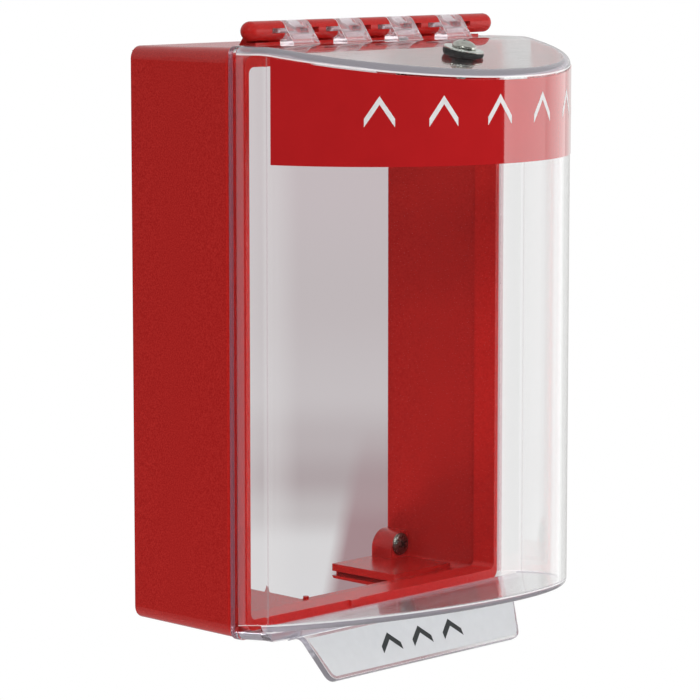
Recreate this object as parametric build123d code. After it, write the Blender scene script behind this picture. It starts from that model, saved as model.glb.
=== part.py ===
from build123d import *
import os
from math import atan2, cos, degrees, hypot, radians, sin, sqrt, tan

# Surface-mounted protective cover for a wall device: a red spacer box that is open to the wall,
# a red hinge frame on its front, and a clear bowed cover that hangs from the frame and lifts by
# a tab. Millimetres. +Z is up, the wall is the plane Y = 0 and the front faces -Y. "Depth" is the
# distance in front of the wall, so a depth d lies at Y = -d. The origin is the centre of the back.

# ---- spacer box ----
BOX_WIDTH = 146.0
BOX_HEIGHT = 216.0
BOX_DEPTH = 50.8
BOX_WALL = 3.2
BOX_FLOOR = 4.5            # bottom wall, thick enough for the grooves of a slide-in plate
BOX_CORNER = 5.5
INNER_ROUND_SHARE = 0.8    # how much of a wall's thickness its inner corner radius gives up
BOX_DRAFT = 0.8            # degrees, the box widens towards the front
BOX_EDGE = 0.8             # chamfer of the outer rear edge

# ---- screw bosses in the four rear corners, and the screws through them ----
BOSS_DEPTH = 10.8
BOSS_REACH_X = 13.5        # from the outside of the box to the boss's inner side
BOSS_REACH_Z = 17.0
BOSS_ROUND = 7.5
SCREW_INSET_X = 8.5
SCREW_INSET_Z = 12.0
SCREW_RADIUS = 2.0         # threaded end, behind the wall plane
SCREW_STAND_OUT = 5.0
SHANK_RADIUS = 2.2         # plain shank, inside the boss
SHANK_CLEARANCE = 0.2
HEAD_RADIUS = 4.5
HEAD_HEIGHT = 2.8
HEAD_BEVEL = 1.5

# ---- cable notch in the bottom wall, with a groove along each side ----
NOTCH_LEFT = -17.0
NOTCH_RIGHT = 36.0
NOTCH_DEPTH = 34.0
GROOVE_HEIGHT = 1.8
GROOVE_REACH = 2.4
GROOVE_LIP = 1.8           # web left under the groove
SHELF_RISE = 2.0           # the floor right of the notch is this much higher
PIP_SETBACK = 0.5          # from the notch's end
PIP_RADIUS = 1.1
PIP_HEIGHT = 1.4

# ---- hinge frame ----
FRAME_FLANGE = 1.2         # flange that lies on the box's front edge
FRAME_LENGTH = 6.7         # how far the rim stands in front of the flange
FRAME_SIDE_GAP = 0.4       # between the rim and the inside of the cover's skirt
FRAME_TOP_GAP = 1.2
FRAME_BOTTOM_GAP = 0.6
FRAME_WALL = 2.0
FRAME_TOP_WALL = 3.9
FRAME_BOTTOM_WALL = 4.0
FRAME_CORNER = 3.5
TONGUE_LENGTH = 3.0        # part of the frame that plugs into the box's mouth
TONGUE_GAP = 0.15
CATCH_X = -14.0
CATCH_WIDTH = 5.0
CATCH_HEIGHT = 2.2
CATCH_REACH = 1.3

# ---- hinge along the top ----
HINGE_FORWARD = 2.0        # axis in front of the frame's flange
HINGE_RISE = 5.7           # axis above the top of the box
BARREL_RADIUS = 3.6
KNUCKLE_WIDTH = 14.0
CLEAR_KNUCKLES = 4
KNUCKLE_GAP = 0.3
BARREL_END = 18.0          # length of the red end knuckles
RAIL_SHORT = 6.0           # the rail stops this far short of the barrel's round ends
RAIL_REACH = 8.4           # the rail's rear foot behind the axis
RAIL_WALL = 2.4
RAIL_SOLE = 1.4
RAIL_SEAT_GAP = 0.1
LEAF_TOP_DROP = 1.4        # the leaf behind a clear knuckle ends this far below the axis
LEAF_GAP = 0.4
PIN_RADIUS = 1.0
PIN_CLEARANCE = 0.1
PIN_LONG = 5.0             # stub on a clear knuckle's left side
PIN_SHORT = 2.0            # stub on its right side
SOCKET_SPARE = 1.6         # a socket is this much longer than its stub
SOCKET_MOUTH = 1.8         # height of a socket's open front

# ---- clear cover ----
COVER_WALL = 2.5
COVER_BACK_GAP = 0.25      # between the skirt's rear edge and the frame's flange
COVER_TOP_RISE = 0.7       # the cover's top above the box's top
SKIRT_LENGTH = 17.75       # from the skirt's rear edge to where the bowed front starts
SKIRT_SETBACK = 0.45       # the skirt in front of its rear bead is this much narrower a side
BEAD_LENGTH = 3.6
COVER_CORNER = 5.0
BOTTOM_RISE = 1.7          # rise of the skirt's underside from its rear edge to SKIRT_FRONT
DOME_RISE = 58.8           # from where the bow starts to its foremost line
DOME_TOP_SLOPE = 0.145
DOME_FLOOR_SLOPE = 0.160
DOME_FLOOR_RISE = 5.0      # where the bow starts, its floor is this far above the box's underside
DOME_EDGE = 3.0
LIP_REACH = 5.5            # the flange under the bow in front of where the bow starts
LIP_END_REACH = 2.0        # the same at the flange's two ends, which are swept back
LIP_END_WIDTH = 13.0
LIP_CORNER = 1.5
RAIL_NOTCH_FORWARD = 3.0   # the cover's top starts this far in front of the hinge axis
RAIL_NOTCH_SPARE = 1.0

# ---- clear knuckles ----
ARM_WALL = 2.2
ARM_REACH = 8.1            # the arm's foot in front of the hinge axis
FOOT_HEIGHT = 1.2
FOOT_BACK_FORWARD = 0.7    # the foot's rear end in front of the hinge axis
RIB_WALL = 2.0
WINDOW_WIDTH = 6.0
WINDOW_HEIGHT = 2.0
WINDOW_OFFSET = 1.0

# ---- lift tab ----
TAB_ROOT_WIDTH = 117.0
TAB_TIP_WIDTH = 105.0
TAB_REACH = 9.0            # forward travel from root to tip
TAB_DROP = 16.2            # downward travel from root to tip
TAB_WALL = 2.8
TAB_CORNER = 4.0
TAB_FLARE = 3.0
TAB_ROOT_RISE = 1.0        # the tab's root above the lip's underside

# ---- screw through the cover's top ----
STUD_FORWARD = 30.0        # in front of where the bow starts
STUD_RADIUS = 2.0
STUD_CLEARANCE = 0.25
STUD_END = 2.0             # thread showing past the nut
RUBBER_RADIUS = 7.6
RUBBER_HEIGHT = 2.0
WASHER_RADIUS = 7.5
WASHER_HEIGHT = 1.1
INNER_WASHER_RADIUS = 5.0
INNER_WASHER_HEIGHT = 0.9
NUT_FLATS = 7.0
NUT_HEIGHT = 3.2

# ---- labels ----
FILM = 0.25
FILM_GAP = 0.02            # between the banner film and the bow
BANNER_HALF_ANGLE = 76.0   # degrees to each side of straight ahead
BANNER_TOP_INSET = 3.2     # below the sloping top, measured square to it
BANNER_DROP = 41.7         # from the cover's top to the banner's lower edge
TAB_LABEL_MARGIN = 1.3
TAB_LABEL_CORNER = 2.8

# ---- worked out from the values above ----
HALF_WIDTH = BOX_WIDTH / 2
HALF_HEIGHT = BOX_HEIGHT / 2
FLOOR_TOP = -HALF_HEIGHT + BOX_FLOOR
HINGE_Z = HALF_HEIGHT + HINGE_RISE
COVER_TOP = HALF_HEIGHT + COVER_TOP_RISE
FRAME_FACE = BOX_DEPTH + FRAME_FLANGE
FRAME_FRONT = FRAME_FACE + FRAME_LENGTH
COVER_BACK = FRAME_FACE + COVER_BACK_GAP
SKIRT_FRONT = COVER_BACK + SKIRT_LENGTH
DOME_REACH = SKIRT_FRONT + DOME_RISE
LIP_DEPTH = SKIRT_FRONT + LIP_REACH
STUD_DEPTH = SKIRT_FRONT + STUD_FORWARD
BANNER_BOTTOM = COVER_TOP - BANNER_DROP
BOTTOM_SLOPE = BOTTOM_RISE / SKIRT_LENGTH
HINGE_DEPTH = FRAME_FACE + HINGE_FORWARD
RAIL_BACK = HINGE_DEPTH - RAIL_REACH
RAIL_NOTCH_DEPTH = HINGE_DEPTH + RAIL_NOTCH_FORWARD
ARM_FOOT_DEPTH = HINGE_DEPTH + ARM_REACH
FOOT_BACK = HINGE_DEPTH + FOOT_BACK_FORWARD
DOME_HALF = HALF_WIDTH - SKIRT_SETBACK
BOW_RADIUS = (DOME_HALF**2 + DOME_RISE**2) / (2 * DOME_RISE)
BOW_CENTRE = DOME_REACH - BOW_RADIUS
DOME_FLOOR = -HALF_HEIGHT + DOME_FLOOR_RISE
RIM_HALF = DOME_HALF - COVER_WALL - FRAME_SIDE_GAP
RIM_TOP = COVER_TOP - COVER_WALL - FRAME_TOP_GAP
RIM_BOTTOM = (-HALF_HEIGHT + COVER_WALL * hypot(1, BOTTOM_SLOPE) + BOTTOM_SLOPE * (FRAME_FRONT - COVER_BACK)
              + FRAME_BOTTOM_GAP)
OPENING_HALF = RIM_HALF - FRAME_WALL
OPENING_TOP = RIM_TOP - FRAME_TOP_WALL
OPENING_BOTTOM = RIM_BOTTOM + FRAME_BOTTOM_WALL
KNUCKLE_PITCH = 2 * KNUCKLE_WIDTH
KNUCKLE_CENTRES = [(i - (CLEAR_KNUCKLES - 1) / 2) * KNUCKLE_PITCH for i in range(CLEAR_KNUCKLES)]
BARREL_HALF = KNUCKLE_CENTRES[-1] + KNUCKLE_WIDTH / 2 + BARREL_END
RAIL_HALF = BARREL_HALF - RAIL_SHORT
FAR = 400.0                # larger than the whole object, for cutting blocks


# ---- shared shapes ----
def facing(depth):
    """Sketch plane parallel to the wall at `depth`, seen from the front: local x is X, y is Z."""
    return Plane.XZ.offset(depth)


def upright(width, height, radius, depth, centre_z=0.0):
    """Rounded rectangle parallel to the wall."""
    return facing(depth) * Pos(0, centre_z) * RectangleRounded(width, height, radius)


def block(x_range, depth_range, z_range):
    """Plain block given by its limits in X, depth and Z."""
    size_x = x_range[1] - x_range[0]
    size_y = depth_range[1] - depth_range[0]
    size_z = z_range[1] - z_range[0]
    centre = (sum(x_range) / 2, -sum(depth_range) / 2, sum(z_range) / 2)
    return Pos(*centre) * Box(size_x, size_y, size_z)


def side_prism(points, x_low, x_high):
    """Solid with the given outline of (depth, z) points, from x_low to x_high."""
    outline = Polyline([(-depth, z) for depth, z in points], close=True)
    return extrude(Plane.YZ.offset(x_low) * make_face(outline), x_high - x_low)


def along_x(radius, x_low, x_high, depth, z):
    """Cylinder parallel to X."""
    return extrude(Plane.YZ.offset(x_low) * Pos(-depth, z) * Circle(radius), x_high - x_low)


def pan_head_screw(shank_radius, shank_length, tip_radius, tip_length):
    """Pan-head screw with its seat at z = 0, a plain shank below it and a threaded tip."""
    head = Cylinder(HEAD_RADIUS, HEAD_HEIGHT, align=(Align.CENTER, Align.CENTER, Align.MIN))
    head = chamfer(head.edges().group_by(Axis.Z)[-1], HEAD_BEVEL)
    shank = Cylinder(shank_radius, shank_length, align=(Align.CENTER, Align.CENTER, Align.MAX))
    tip = Cylinder(tip_radius, tip_length, align=(Align.CENTER, Align.CENTER, Align.MAX))
    tip = chamfer(tip.edges().group_by(Axis.Z)[0], tip_radius * 0.3)
    return head + shank + Pos(0, 0, -shank_length) * tip


# ---- spacer box ----
def drafted_block(inset):
    """The box's outside for inset 0, or the inside of its walls for inset 1, narrowing to the wall."""
    low = -HALF_HEIGHT + BOX_FLOOR * inset
    high = HALF_HEIGHT - BOX_WALL * inset
    width = BOX_WIDTH - 2 * BOX_WALL * inset
    radius = BOX_CORNER - BOX_WALL * INNER_ROUND_SHARE * inset
    mouth = upright(width, high - low, radius, BOX_DEPTH, (high + low) / 2)
    return extrude(mouth, BOX_DEPTH, dir=(0, 1, 0), taper=BOX_DRAFT)


def screw_places():
    """Centres of the four wall screws, as (x, z)."""
    x = HALF_WIDTH - SCREW_INSET_X
    z = HALF_HEIGHT - SCREW_INSET_Z
    return [(sx * x, sz * z) for sx in (-1, 1) for sz in (-1, 1)]


def corner_boss(side_x, side_z):
    """Boss in one rear corner: a block with its free corner rounded."""
    x_in = HALF_WIDTH - BOSS_REACH_X
    z_in = HALF_HEIGHT - BOSS_REACH_Z
    x_out = HALF_WIDTH - BOX_WALL / 2 - BOX_DEPTH * tan(radians(BOX_DRAFT))
    z_out = HALF_HEIGHT - BOX_WALL / 2 - BOX_DEPTH * tan(radians(BOX_DRAFT))
    outline = Polyline([(x_in, z_in), (x_out, z_in), (x_out, z_out), (x_in, z_out)], close=True)
    face = make_face(outline)
    free_corner = face.vertices().sort_by(lambda v: v.X + v.Y)[0]
    face = fillet(free_corner, BOSS_ROUND)
    boss = extrude(facing(0) * face, BOSS_DEPTH)
    if side_x < 0:
        boss = mirror(boss, Plane.YZ)
    if side_z < 0:
        boss = mirror(boss, Plane.XY)
    return boss


def make_spacer_box():
    outside = drafted_block(0)
    rear_edges = outside.faces().sort_by(Axis.Y)[-1].edges()
    box = chamfer(rear_edges, BOX_EDGE) - drafted_block(1)

    draft_at_wall = BOX_DEPTH * tan(radians(BOX_DRAFT))
    inner_side = HALF_WIDTH - BOX_WALL / 2 - draft_at_wall
    shelf_z = (-HALF_HEIGHT + BOX_FLOOR / 2, FLOOR_TOP + SHELF_RISE)
    box += block((NOTCH_RIGHT, inner_side), (0, NOTCH_DEPTH), shelf_z)
    for side_x in (-1, 1):
        for side_z in (-1, 1):
            box += corner_boss(side_x, side_z)

    below = -HALF_HEIGHT - BOX_FLOOR
    above = FLOOR_TOP + SHELF_RISE + BOX_FLOOR
    box -= block((NOTCH_LEFT, NOTCH_RIGHT), (-BOX_EDGE, NOTCH_DEPTH), (below, above))
    groove_x = (NOTCH_LEFT - GROOVE_REACH, NOTCH_RIGHT + GROOVE_REACH)
    groove_low = -HALF_HEIGHT + GROOVE_LIP
    box -= block(groove_x, (-BOX_EDGE, NOTCH_DEPTH), (groove_low, groove_low + GROOVE_HEIGHT))

    pip_x = NOTCH_LEFT + PIP_RADIUS
    pip_depth = NOTCH_DEPTH + PIP_SETBACK + PIP_RADIUS
    pip = Cylinder(PIP_RADIUS, PIP_HEIGHT + BOX_FLOOR / 2, align=(Align.CENTER, Align.CENTER, Align.MIN))
    box += Pos(pip_x, -pip_depth, FLOOR_TOP - BOX_FLOOR / 2) * pip

    for x, z in screw_places():
        hole = extrude(facing(-BOX_EDGE) * Pos(x, z) * Circle(SHANK_RADIUS + SHANK_CLEARANCE),
                       BOSS_DEPTH + 2 * BOX_EDGE)
        box -= hole
    return box


def make_wall_screws():
    screw = pan_head_screw(SHANK_RADIUS, BOSS_DEPTH, SCREW_RADIUS, SCREW_STAND_OUT)
    seat = facing(BOSS_DEPTH).location
    return [seat * Pos(x, z, 0) * screw for x, z in screw_places()]


# ---- hinge frame ----
def frame_opening(depth, length):
    """The frame's clear opening as a cutting block."""
    height = OPENING_TOP - OPENING_BOTTOM
    centre_z = (OPENING_TOP + OPENING_BOTTOM) / 2
    return extrude(upright(2 * OPENING_HALF, height, FRAME_CORNER * 0.7, depth, centre_z), length)


def rail_section():
    """Points of the hinge rail's slanted leaf: its rear face is tangent to the barrel."""
    foot = (RAIL_BACK, HALF_HEIGHT + RAIL_SEAT_GAP)
    to_axis = (HINGE_DEPTH - foot[0], HINGE_Z - foot[1])
    reach = hypot(*to_axis)
    slope = atan2(to_axis[1], to_axis[0]) + atan2(BARREL_RADIUS, sqrt(reach**2 - BARREL_RADIUS**2))
    length = sqrt(reach**2 - BARREL_RADIUS**2)
    top = (foot[0] + length * cos(slope), foot[1] + length * sin(slope))
    shift = (RAIL_WALL * sin(slope), -RAIL_WALL * cos(slope))
    inner_top = (top[0] + shift[0], top[1] + shift[1])
    inner_foot_depth = foot[0] + RAIL_WALL / sin(slope)
    return [foot, top, inner_top, (inner_foot_depth, foot[1])]


def barrel_ends():
    """X limits of each red knuckle, from left to right."""
    edges = [-BARREL_HALF]
    for centre in KNUCKLE_CENTRES:
        edges += [centre - KNUCKLE_WIDTH / 2, centre + KNUCKLE_WIDTH / 2]
    edges.append(BARREL_HALF)
    return list(zip(edges[0::2], edges[1::2]))


def socket(x_open, length, direction):
    """Open-fronted socket for a stub pin, cut into a red knuckle from its end at x_open."""
    x_range = sorted((x_open - direction * KNUCKLE_GAP, x_open + direction * length))
    bore = along_x(PIN_RADIUS + PIN_CLEARANCE, *x_range, HINGE_DEPTH, HINGE_Z)
    mouth = block(x_range, (HINGE_DEPTH, HINGE_DEPTH + 2 * BARREL_RADIUS),
                  (HINGE_Z - SOCKET_MOUTH / 2, HINGE_Z + SOCKET_MOUTH / 2))
    return bore + mouth


def make_hinge_frame():
    frame = extrude(upright(BOX_WIDTH, BOX_HEIGHT, BOX_CORNER, BOX_DEPTH), FRAME_FLANGE)
    frame += extrude(upright(2 * RIM_HALF, RIM_TOP - RIM_BOTTOM, FRAME_CORNER, BOX_DEPTH,
                             (RIM_TOP + RIM_BOTTOM) / 2), FRAME_FLANGE + FRAME_LENGTH)

    # tongue that plugs into the box's drafted mouth
    inset = TONGUE_GAP + TONGUE_LENGTH * tan(radians(BOX_DRAFT))
    high = HALF_HEIGHT - BOX_WALL - inset
    low = FLOOR_TOP + inset
    frame += extrude(upright(2 * (HALF_WIDTH - BOX_WALL - inset), high - low, FRAME_CORNER,
                             BOX_DEPTH - TONGUE_LENGTH, (high + low) / 2), TONGUE_LENGTH)

    # the rail: a web up from the flange, a sole back over the box's top and the slanted leaf
    web_front = FOOT_BACK - LEAF_GAP
    seat = HALF_HEIGHT + RAIL_SEAT_GAP
    web_low = (RIM_TOP + OPENING_TOP) / 2
    frame += block((-RAIL_HALF, RAIL_HALF), (BOX_DEPTH, web_front), (web_low, seat + RAIL_SOLE))
    frame += block((-RAIL_HALF, RAIL_HALF), (RAIL_BACK + RAIL_WALL / 2, web_front), (seat, seat + RAIL_SOLE))
    frame += side_prism(rail_section(), -RAIL_HALF, RAIL_HALF)
    frame -= frame_opening(BOX_DEPTH - TONGUE_LENGTH, TONGUE_LENGTH + FRAME_FLANGE + FRAME_LENGTH)

    # room for the clear knuckles
    for centre in KNUCKLE_CENTRES:
        low_x = centre - KNUCKLE_WIDTH / 2
        high_x = centre + KNUCKLE_WIDTH / 2
        frame -= along_x(BARREL_RADIUS + LEAF_GAP, low_x, high_x, HINGE_DEPTH, HINGE_Z)
        frame -= block((low_x, high_x), (0, HINGE_DEPTH), (HINGE_Z - LEAF_TOP_DROP, HINGE_Z + FAR))

    # the red knuckles, the outermost two with round ends
    for low_x, high_x in barrel_ends():
        at_left_end = low_x == -BARREL_HALF
        at_right_end = high_x == BARREL_HALF
        start = low_x + BARREL_RADIUS if at_left_end else low_x
        stop = high_x - BARREL_RADIUS if at_right_end else high_x
        frame += along_x(BARREL_RADIUS, start, stop, HINGE_DEPTH, HINGE_Z)
        if at_left_end:
            frame += Pos(start, -HINGE_DEPTH, HINGE_Z) * Sphere(BARREL_RADIUS)
        else:
            frame -= socket(low_x, PIN_SHORT + SOCKET_SPARE, 1)
        if at_right_end:
            frame += Pos(stop, -HINGE_DEPTH, HINGE_Z) * Sphere(BARREL_RADIUS)
        else:
            frame -= socket(high_x, PIN_LONG + SOCKET_SPARE, -1)

    catch_z = OPENING_BOTTOM - CATCH_HEIGHT
    frame += block((CATCH_X - CATCH_WIDTH / 2, CATCH_X + CATCH_WIDTH / 2),
                   (FRAME_FRONT - CATCH_REACH, FRAME_FRONT + CATCH_REACH), (catch_z, catch_z + CATCH_HEIGHT))
    return frame


# ---- clear cover ----
def sloped_prism(inset, back):
    """Block between the bow's sloping top and floor, both moved in by `inset`."""
    front = DOME_REACH + DOME_EDGE
    top_inset = inset * hypot(1, DOME_TOP_SLOPE)
    floor_inset = inset * hypot(1, DOME_FLOOR_SLOPE)
    top_at = lambda depth: COVER_TOP - DOME_TOP_SLOPE * (depth - SKIRT_FRONT) - top_inset
    floor_at = lambda depth: DOME_FLOOR + DOME_FLOOR_SLOPE * (depth - SKIRT_FRONT) + floor_inset
    points = [(back, floor_at(back)), (front, floor_at(front)), (front, top_at(front)), (back, top_at(back))]
    return side_prism(points, -HALF_WIDTH, HALF_WIDTH)


def bow_block(inset):
    """The bowed front as a solid, moved in by `inset` on every side. Only its outside has round edges."""
    back = SKIRT_FRONT - inset
    plan = Pos(0, -BOW_CENTRE) * Circle(BOW_RADIUS - inset)
    plan &= Pos(0, -(back + FAR / 2)) * Rectangle(FAR, FAR)
    bow = extrude(Plane.XY.offset(-FAR / 2) * plan, FAR) & sloped_prism(inset, back)
    if inset:
        return bow
    arcs = bow.edges().filter_by(lambda e: abs(e.position_at(0.5).Y) > BOW_CENTRE + BOW_RADIUS / 2)
    arcs = arcs.filter_by(lambda e: abs(e.position_at(0).X - e.position_at(1).X) > DOME_HALF)
    return fillet(arcs, DOME_EDGE)


def underside(depth):
    """Height of the skirt's underside, which rises towards the front."""
    return -HALF_HEIGHT + BOTTOM_SLOPE * (depth - COVER_BACK)


def skirt_block(inset, back, front, half_width):
    """The skirt as a solid, rounded seen from the front."""
    bottom_inset = inset * hypot(1, BOTTOM_SLOPE)
    half = half_width - inset
    high = COVER_TOP - inset
    low = -HALF_HEIGHT + inset
    body = extrude(upright(2 * half, high - low, COVER_CORNER - inset, back, (high + low) / 2), front - back)
    body &= side_prism([(back, underside(back) + bottom_inset), (front, underside(front) + bottom_inset),
                        (front, high), (back, high)], -HALF_WIDTH, HALF_WIDTH)
    return body


def lip_bar():
    """Bar across the front of the skirt's underside, below the bow's floor, with swept-back ends."""
    back = SKIRT_FRONT - COVER_WALL
    end_depth = SKIRT_FRONT + LIP_END_REACH
    front_half = DOME_HALF - LIP_END_WIDTH
    plan = make_face(Polyline([(-DOME_HALF, -back), (DOME_HALF, -back), (DOME_HALF, -end_depth),
                               (front_half, -LIP_DEPTH), (-front_half, -LIP_DEPTH),
                               (-DOME_HALF, -end_depth)], close=True))
    plan = fillet([v for v in plan.vertices() if abs(v.Y + end_depth) < 0.01], LIP_CORNER)
    bar = extrude(Plane.XY.offset(-FAR / 2) * plan, FAR)
    rise = (DOME_FLOOR_RISE + COVER_WALL) / 2
    bar &= side_prism([(back, underside(back)), (LIP_DEPTH, underside(LIP_DEPTH)),
                       (LIP_DEPTH, underside(LIP_DEPTH) + rise), (back, underside(back) + rise)],
                      -HALF_WIDTH, HALF_WIDTH)
    return bar & extrude(upright(2 * DOME_HALF, BOX_HEIGHT, COVER_CORNER, back), LIP_DEPTH - back)


def tab_plane():
    """Plane of the tab's front face: local x is X and local y runs up the tab."""
    up = Vector(0, TAB_REACH, TAB_DROP)
    normal = Vector(1, 0, 0).cross(up)
    root_z = -HALF_HEIGHT + BOTTOM_RISE + TAB_ROOT_RISE
    return Plane(origin=(0, -LIP_DEPTH, root_z), x_dir=(1, 0, 0), z_dir=normal)


def tab_outline(margin, corner):
    """Trapezium of the tab's face, drawn in by `margin`, root at y = 0."""
    length = hypot(TAB_REACH, TAB_DROP)
    root = TAB_ROOT_WIDTH / 2 - margin
    tip = TAB_TIP_WIDTH / 2 - margin
    points = [(-root, -margin), (root, -margin), (tip, margin - length), (-tip, margin - length)]
    face = make_face(Polyline(points, close=True))
    return fillet(face.vertices().group_by(Axis.Y)[0], corner)


def make_tab():
    face = tab_outline(0, TAB_CORNER)
    root_bar = Pos(0, TAB_ROOT_RISE / 2) * Rectangle(TAB_ROOT_WIDTH + 4 * TAB_FLARE, TAB_ROOT_RISE)
    face += root_bar
    corners = [v for v in face.vertices() if abs(v.Y) < 0.01 and abs(abs(v.X) - TAB_ROOT_WIDTH / 2) < 0.01]
    face = fillet(corners, TAB_FLARE)
    return extrude(tab_plane() * face, -TAB_WALL)


def arm_points():
    """Outline of a clear knuckle's arm: tangent to the barrel in front, down to its foot."""
    foot_z = COVER_TOP
    to_axis = (HINGE_DEPTH - ARM_FOOT_DEPTH, HINGE_Z - foot_z)
    reach = hypot(*to_axis)
    length = sqrt(reach**2 - BARREL_RADIUS**2)
    slope = atan2(to_axis[1], to_axis[0]) - atan2(BARREL_RADIUS, length)
    top = (ARM_FOOT_DEPTH + length * cos(slope), foot_z + length * sin(slope))
    run = ARM_WALL / sin(slope)
    inner_top = (top[0] - ARM_WALL * sin(slope), top[1] + ARM_WALL * cos(slope))
    return [(ARM_FOOT_DEPTH, foot_z), top, inner_top, (ARM_FOOT_DEPTH - run, foot_z)]


def clear_knuckle(centre):
    """Barrel, sloping arm, foot, side rib and stub pins of one clear knuckle."""
    low_x = centre - KNUCKLE_WIDTH / 2 + KNUCKLE_GAP
    high_x = centre + KNUCKLE_WIDTH / 2 - KNUCKLE_GAP
    arm = arm_points()
    knuckle = along_x(BARREL_RADIUS, low_x, high_x, HINGE_DEPTH, HINGE_Z)
    knuckle += side_prism(arm, low_x, high_x)
    window_x = centre + WINDOW_OFFSET
    knuckle -= block((window_x - WINDOW_WIDTH / 2, window_x + WINDOW_WIDTH / 2), (0, ARM_FOOT_DEPTH),
                     (HINGE_Z - WINDOW_HEIGHT / 2, HINGE_Z + WINDOW_HEIGHT / 2))
    foot_low = COVER_TOP - COVER_WALL / 2
    foot_high = COVER_TOP + FOOT_HEIGHT
    knuckle += block((low_x, high_x), (FOOT_BACK, ARM_FOOT_DEPTH), (foot_low, COVER_TOP))
    knuckle += block((low_x, high_x), (FOOT_BACK, arm[3][0]), (COVER_TOP, foot_high))
    rib = [(FOOT_BACK, foot_high), (FOOT_BACK, HINGE_Z), arm[2], arm[3]]
    rib_window = [(FOOT_BACK + RIB_WALL / 2, foot_high), (FOOT_BACK + RIB_WALL / 2, HINGE_Z - BARREL_RADIUS),
                  (arm[3][0] - RIB_WALL / 2, foot_high)]
    knuckle += side_prism(rib, low_x, low_x + RIB_WALL) - side_prism(rib_window, low_x, low_x + RIB_WALL)
    knuckle += along_x(PIN_RADIUS, low_x - PIN_LONG, low_x, HINGE_DEPTH, HINGE_Z)
    knuckle += along_x(PIN_RADIUS, high_x, high_x + PIN_SHORT, HINGE_DEPTH, HINGE_Z)
    return knuckle


def stud_location():
    """Where the screw passes the cover's top, with local +z square to the sloping face."""
    z = COVER_TOP - DOME_TOP_SLOPE * (STUD_DEPTH - SKIRT_FRONT)
    return Location((0, -STUD_DEPTH, z), (degrees(atan2(DOME_TOP_SLOPE, 1)), 0, 0))


def make_clear_cover():
    cover = skirt_block(0, COVER_BACK, SKIRT_FRONT, DOME_HALF) + bow_block(0) + lip_bar()
    cover += skirt_block(0, COVER_BACK, COVER_BACK + BEAD_LENGTH, HALF_WIDTH)
    cover -= skirt_block(COVER_WALL, COVER_BACK - COVER_WALL, SKIRT_FRONT - COVER_WALL / 2, DOME_HALF)
    cover -= bow_block(COVER_WALL)
    cover -= block((-RAIL_HALF - RAIL_NOTCH_SPARE, RAIL_HALF + RAIL_NOTCH_SPARE),
                   (0, RAIL_NOTCH_DEPTH), (RIM_TOP, HINGE_Z))
    for centre in KNUCKLE_CENTRES:
        cover += clear_knuckle(centre)
    cover += make_tab()
    cover -= stud_location() * Cylinder(STUD_RADIUS + STUD_CLEARANCE, 4 * COVER_WALL)
    return cover


# ---- screw, washers and nut through the cover's top ----
def washer(radius, height, base):
    """Plain washer round the stud with its lower face at local z = base."""
    ring = Cylinder(radius, height) - Cylinder(STUD_RADIUS + STUD_CLEARANCE, height)
    return stud_location() * Pos(0, 0, base + height / 2) * ring


def make_rubber_washer():
    return washer(RUBBER_RADIUS, RUBBER_HEIGHT, 0)


def make_steel_washer():
    return washer(WASHER_RADIUS, WASHER_HEIGHT, RUBBER_HEIGHT)


def make_inner_washer():
    return washer(INNER_WASHER_RADIUS, INNER_WASHER_HEIGHT, -COVER_WALL - INNER_WASHER_HEIGHT)


def make_lock_nut():
    hexagon = RegularPolygon(NUT_FLATS / 2, 6, major_radius=False) - Circle(STUD_RADIUS)
    base = -COVER_WALL - INNER_WASHER_HEIGHT - NUT_HEIGHT
    return stud_location() * Pos(0, 0, base) * extrude(hexagon, NUT_HEIGHT)


def make_cover_screw():
    seat = RUBBER_HEIGHT + WASHER_HEIGHT
    grip = seat + COVER_WALL + INNER_WASHER_HEIGHT + NUT_HEIGHT
    return stud_location() * Pos(0, 0, seat) * pan_head_screw(STUD_RADIUS, grip, STUD_RADIUS, STUD_END)


# ---- labels ----
def make_banner_label():
    """Film round the upper part of the bow, its top edge parallel to the sloping top."""
    ring = Circle(BOW_RADIUS + FILM_GAP + FILM) - Circle(BOW_RADIUS + FILM_GAP)
    reach = 2 * BOW_RADIUS
    corner = (reach * sin(radians(BANNER_HALF_ANGLE)), -reach * cos(radians(BANNER_HALF_ANGLE)))
    wedge = make_face(Polyline([(0, 0), corner, (corner[0], -reach), (-corner[0], -reach),
                                (-corner[0], corner[1])], close=True))
    sector = Pos(0, -BOW_CENTRE) * (ring & wedge)
    band = extrude(Plane.XY.offset(BANNER_BOTTOM) * sector, FAR / 2)
    return band & sloped_prism(BANNER_TOP_INSET, SKIRT_FRONT)


def make_tab_label():
    return extrude(tab_plane() * tab_outline(TAB_LABEL_MARGIN, TAB_LABEL_CORNER), FILM)


NODES = {
    "spacer_box": make_spacer_box,
    "wall_screws": make_wall_screws,
    "hinge_frame": make_hinge_frame,
    "clear_cover": make_clear_cover,
    "rubber_washer": make_rubber_washer,
    "steel_washer": make_steel_washer,
    "cover_screw": make_cover_screw,
    "inner_washer": make_inner_washer,
    "lock_nut": make_lock_nut,
    "banner_label": make_banner_label,
    "tab_label": make_tab_label,
}

os.makedirs("parts", exist_ok=True)
for node, make in NODES.items():
    shape = make()
    if isinstance(shape, list):
        shape = Compound(children=shape)
    export_step(shape, f"parts/{node}.step")
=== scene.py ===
"""A hinged clear cover over a red wall box: finer meshes, materials, lights and camera round the frame.

Sizes of pieces are in millimetres: x across, depth out from the wall (Y is minus the depth), z up.
Camera, lamps and floor are in metres."""
import math

import bmesh
import bpy
from mathutils import Matrix, Vector


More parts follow.
